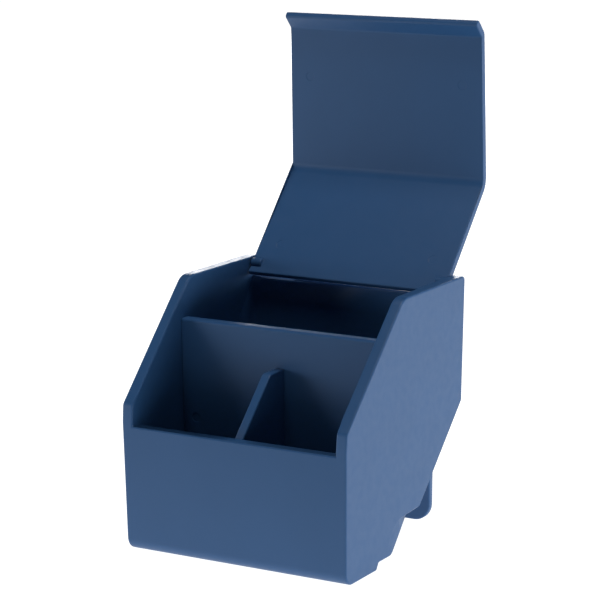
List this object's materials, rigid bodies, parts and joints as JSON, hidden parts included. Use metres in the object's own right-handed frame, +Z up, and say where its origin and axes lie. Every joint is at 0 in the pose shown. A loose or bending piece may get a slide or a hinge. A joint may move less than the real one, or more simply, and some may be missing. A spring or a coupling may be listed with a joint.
{
  "type": "desktop organiser box with flip-up lid",
  "caption": "Moulded plastic organiser box with slanted open front, inner dividers, rear hanging tab and a cranked lid hinged at the back.",
  "frame": {"origin": "middle of the object's footprint with the lid open, on the surface that it stands on", "axes": "+Z up, +Y towards the back wall and hinge, +X to the right seen from the front; the object is symmetric about the plane X = 0"},
  "size_m": [0.1, 0.1258, 0.1997],
  "materials": {
    "blue_plastic": "satin moulded ABS with a very fine texture",
    "pin_plastic": "smooth satin"
  },
  "bodies": {
    "box": {"box_shell": "blue_plastic", "cross_divider": "blue_plastic", "centre_divider": "blue_plastic"},
    "lid": {"lid": "blue_plastic", "hinge_pin_left": "pin_plastic", "hinge_pin_right": "pin_plastic"}
  },
  "joints": [
    {"name": "lid_hinge", "type": "hinge", "parent": "box", "child": "lid", "pos_m": [0, 0.02745, 0.0992], "axis": [1, 0, 0], "range_deg": [0, 133.2]}
  ]
}
